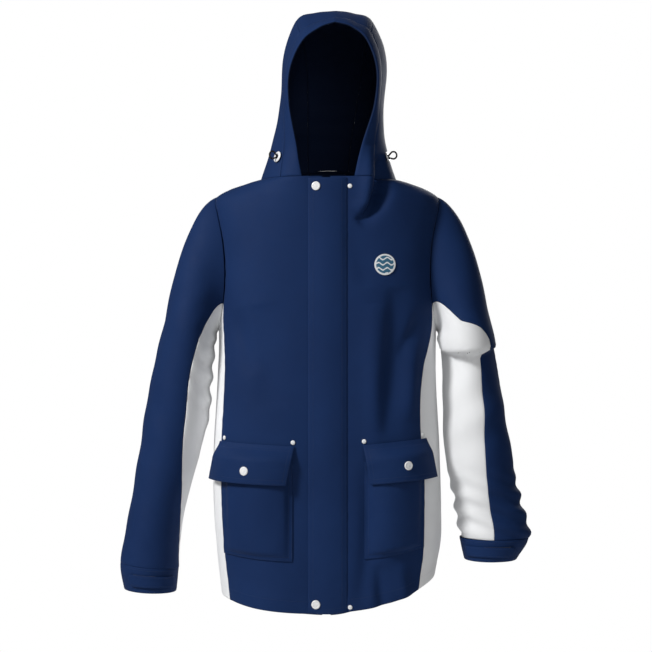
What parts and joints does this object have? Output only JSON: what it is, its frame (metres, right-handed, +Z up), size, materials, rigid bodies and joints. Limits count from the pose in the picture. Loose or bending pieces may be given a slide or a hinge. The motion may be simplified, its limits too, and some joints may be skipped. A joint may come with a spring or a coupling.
{
  "type": "foul weather jacket",
  "caption": "Hooded waterproof sailing jacket with contrast side panels, storm flap over a front zip, flapped pockets, snaps and cuff tabs.",
  "frame": {"origin": "middle of the hanger loop inside the back of the neck", "axes": "+Z up, the front of the jacket towards -Y, the wearer's left towards +X"},
  "size_m": [0.7256, 0.2644, 1.0656],
  "materials": {
    "navy_fabric": "satin",
    "white_fabric": "satin",
    "lining_fabric": "matte",
    "navy_tape": "matte",
    "label_fabric": "matte",
    "badge_fabric": "satin",
    "hook_and_loop": "matte",
    "black_cord": "matte",
    "white_enamel": "gloss",
    "fastener_steel": "satin",
    "black_plastic": "satin"
  },
  "bodies": {
    "root": {"front_panel_right": "navy_fabric", "front_panel_left": "navy_fabric", "back_panel": "navy_fabric", "side_panel_right": "white_fabric", "side_panel_left": "white_fabric", "neck_facing": "lining_fabric", "size_label": "label_fabric", "hanger_loop": "navy_tape", "zip_tape_right": "navy_tape", "zip_tape_left": "navy_tape", "zip_teeth_right": "black_plastic", "zip_teeth_left": "black_plastic", "zip_bottom_box": "black_plastic", "front_hook_strip": "hook_and_loop", "neck_snap_stud": "fastener_steel", "hem_snap_stud": "fastener_steel", "neck_rivet": "white_enamel", "hem_rivet": "white_enamel", "chest_badge": "badge_fabric", "pocket_pouch_right": "navy_fabric", "pocket_right_snap_stud": "fastener_steel", "pocket_rivet_inner_right": "white_enamel", "pocket_rivet_outer_right": "white_enamel", "pocket_pouch_left": "navy_fabric", "pocket_left_snap_stud": "fastener_steel", "pocket_rivet_inner_left": "white_enamel", "pocket_rivet_outer_left": "white_enamel"},
    "storm_flap": {"storm_flap": "navy_fabric", "flap_loop_strip": "hook_and_loop", "neck_snap_cap": "white_enamel", "neck_snap_socket": "fastener_steel", "hem_snap_cap": "white_enamel", "hem_snap_socket": "fastener_steel"},
    "zip_slider": {"zip_slider": "fastener_steel", "zip_pull": "fastener_steel"},
    "hood": {"hood_center_panel": "navy_fabric", "hood_side_right": "navy_fabric", "hood_side_left": "navy_fabric", "hood_rim": "navy_fabric", "hood_eyelet_right": "white_enamel", "hood_eyelet_left": "white_enamel"},
    "pocket_flap_right": {"pocket_flap_right": "navy_fabric", "pocket_right_snap_cap": "white_enamel", "pocket_right_snap_socket": "fastener_steel"},
    "sleeve_right": {"sleeve_outer_right": "navy_fabric", "sleeve_under_right": "white_fabric", "cuff_right": "navy_fabric", "cuff_loop_pad_right": "hook_and_loop"},
    "cuff_tab_right": {"cuff_tab_right": "navy_fabric"},
    "drawcord_right": {"drawcord_loop_right": "black_cord"},
    "pocket_flap_left": {"pocket_flap_left": "navy_fabric", "pocket_left_snap_cap": "white_enamel", "pocket_left_snap_socket": "fastener_steel"},
    "sleeve_left": {"sleeve_outer_left": "navy_fabric", "sleeve_under_left": "white_fabric", "cuff_left": "navy_fabric", "cuff_loop_pad_left": "hook_and_loop"},
    "cuff_tab_left": {"cuff_tab_left": "navy_fabric"},
    "drawcord_left": {"drawcord_loop_left": "black_cord"}
  },
  "joints": [
    {"name": "storm_flap_hinge", "type": "hinge", "parent": "root", "child": "storm_flap", "pos_m": [0.033, -0.1854, -0.396], "axis": [0, 0.0355, 0.9994], "range_deg": [0, 108]},
    {"name": "zip_slide", "type": "slide", "parent": "root", "child": "zip_slider", "axis": [0, -0.0355, -0.9994], "range_m": [0, 0.68]},
    {"name": "hood_tip", "type": "hinge", "parent": "root", "child": "hood", "pos_m": [0, 0.019, 0.016], "axis": [-1, 0, 0], "range_deg": [0, 15]},
    {"name": "sleeve_raise_right", "type": "hinge", "parent": "root", "child": "sleeve_right", "pos_m": [-0.202, -0.066, -0.041], "axis": [0, 1, 0], "range_deg": [0, 45]},
    {"name": "sleeve_raise_left", "type": "hinge", "parent": "root", "child": "sleeve_left", "pos_m": [0.2, -0.066, -0.041], "axis": [0, -1, 0], "range_deg": [0, 45]},
    {"name": "pocket_flap_hinge_right", "type": "hinge", "parent": "root", "child": "pocket_flap_right", "pos_m": [-0.0648, -0.2036, -0.479], "axis": [-0.9286, 0.3687, 0.0431], "range_deg": [0, 110]},
    {"name": "pocket_flap_hinge_left", "type": "hinge", "parent": "root", "child": "pocket_flap_left", "pos_m": [0.0638, -0.1981, -0.479], "axis": [-0.9486, -0.3046, -0.0855], "range_deg": [0, 110]},
    {"name": "cuff_tab_hinge_right", "type": "hinge", "parent": "sleeve_right", "child": "cuff_tab_right", "pos_m": [-0.272, -0.1278, -0.724], "axis": [0.0617, 0.0084, 0.9981], "range_deg": [0, 90]},
    {"name": "cuff_tab_hinge_left", "type": "hinge", "parent": "sleeve_left", "child": "cuff_tab_left", "pos_m": [0.242, -0.1343, -0.668], "axis": [0.0709, 0, -0.9975], "range_deg": [0, 90]},
    {"name": "drawcord_pull_right", "type": "slide", "parent": "hood", "child": "drawcord_right", "axis": [-0.784, -0.5621, 0.2636], "range_m": [0, 0.008]},
    {"name": "drawcord_pull_left", "type": "slide", "parent": "hood", "child": "drawcord_left", "axis": [0.9083, -0.3099, 0.2811], "range_m": [0, 0.008]}
  ]
}
